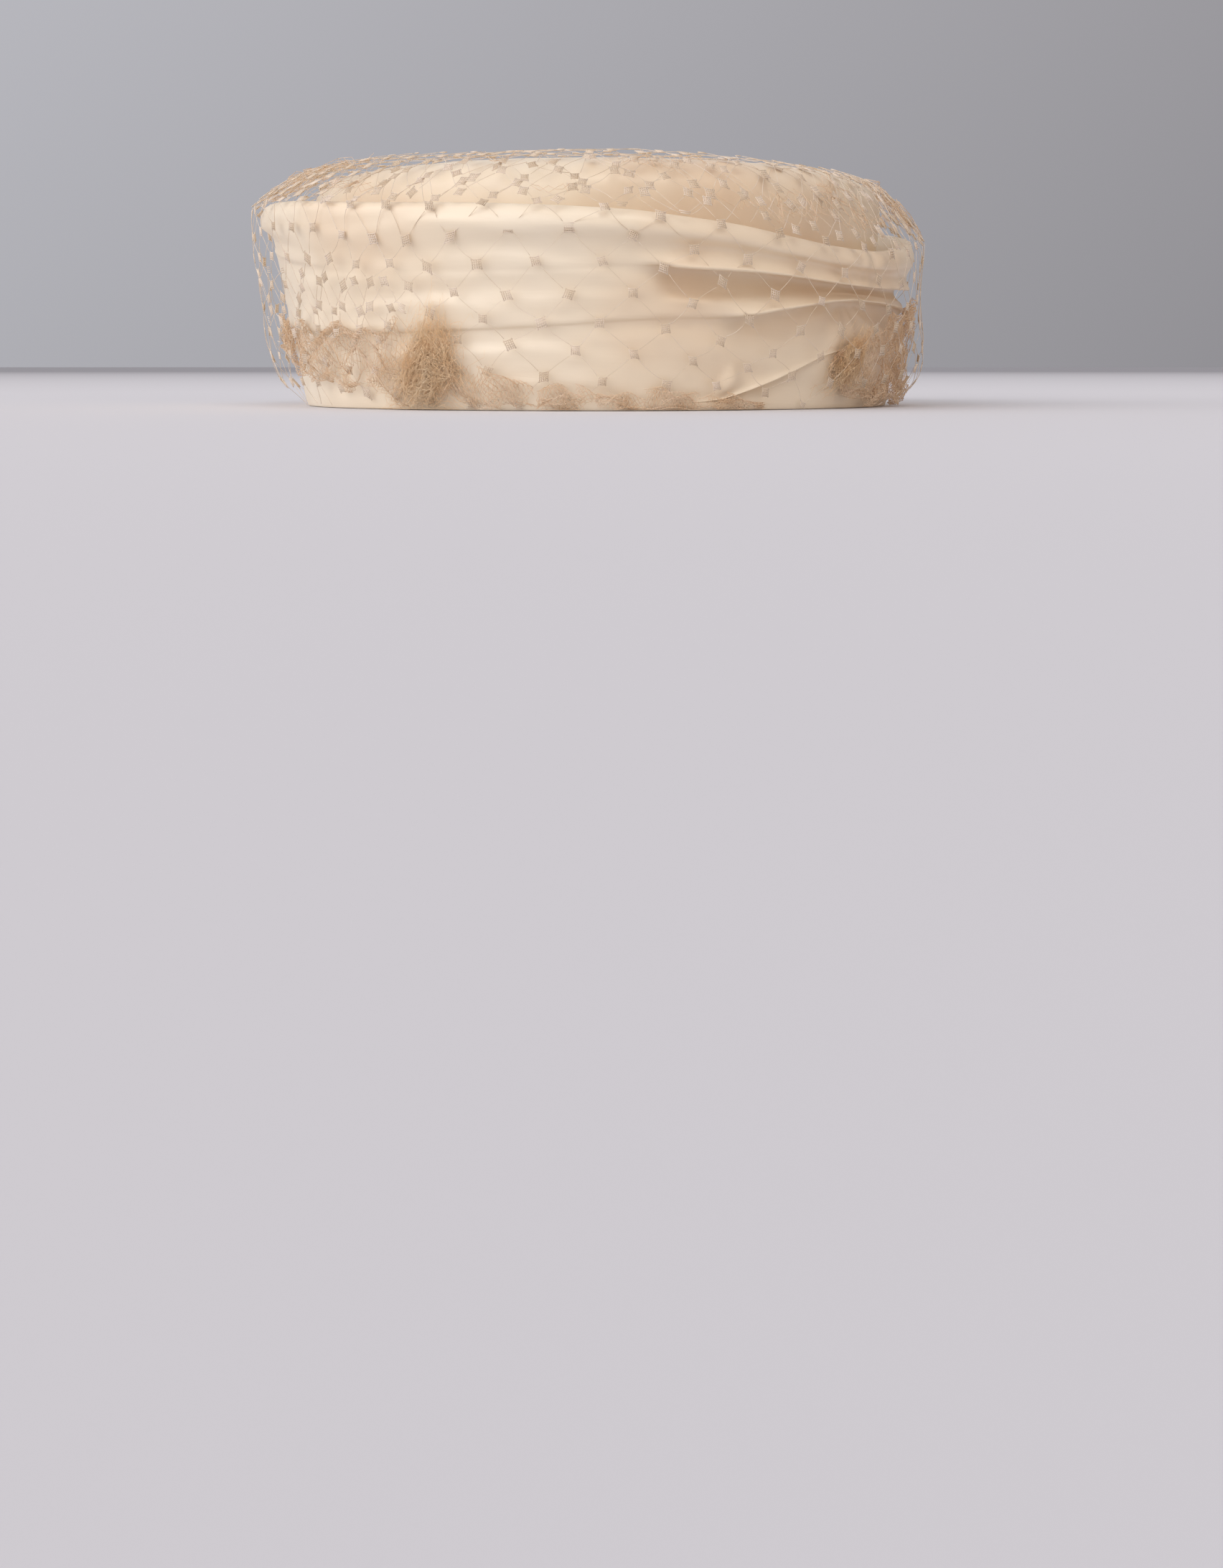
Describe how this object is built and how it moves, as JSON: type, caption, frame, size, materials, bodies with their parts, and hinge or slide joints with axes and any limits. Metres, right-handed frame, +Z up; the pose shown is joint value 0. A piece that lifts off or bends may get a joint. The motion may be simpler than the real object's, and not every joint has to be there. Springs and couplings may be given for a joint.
{
  "type": "pillbox hat",
  "caption": "Pillbox hat: a pleated satin band draped round a rounded crown, under a knotted net veil gathered in rolls and tufts near the rim.",
  "frame": {"origin": "middle of the hat's footprint box, on the surface that the rim rests on", "axes": "+Z up, +Y towards the front of the wearer's head, +X towards the wearer's right"},
  "size_m": [0.21, 0.2252, 0.0746],
  "materials": {
    "satin": "cream satin",
    "facing": "matte ribbon",
    "net": "matte net"
  },
  "bodies": {
    "root": {"crown": "satin", "draped_band": "satin", "rim_facing": "facing", "veil": "net", "net_roll_left": "net", "net_roll_back": "net", "net_roll_right": "net", "net_tuft_left": "net", "net_tuft_right": "net"}
  },
  "joints": []
}
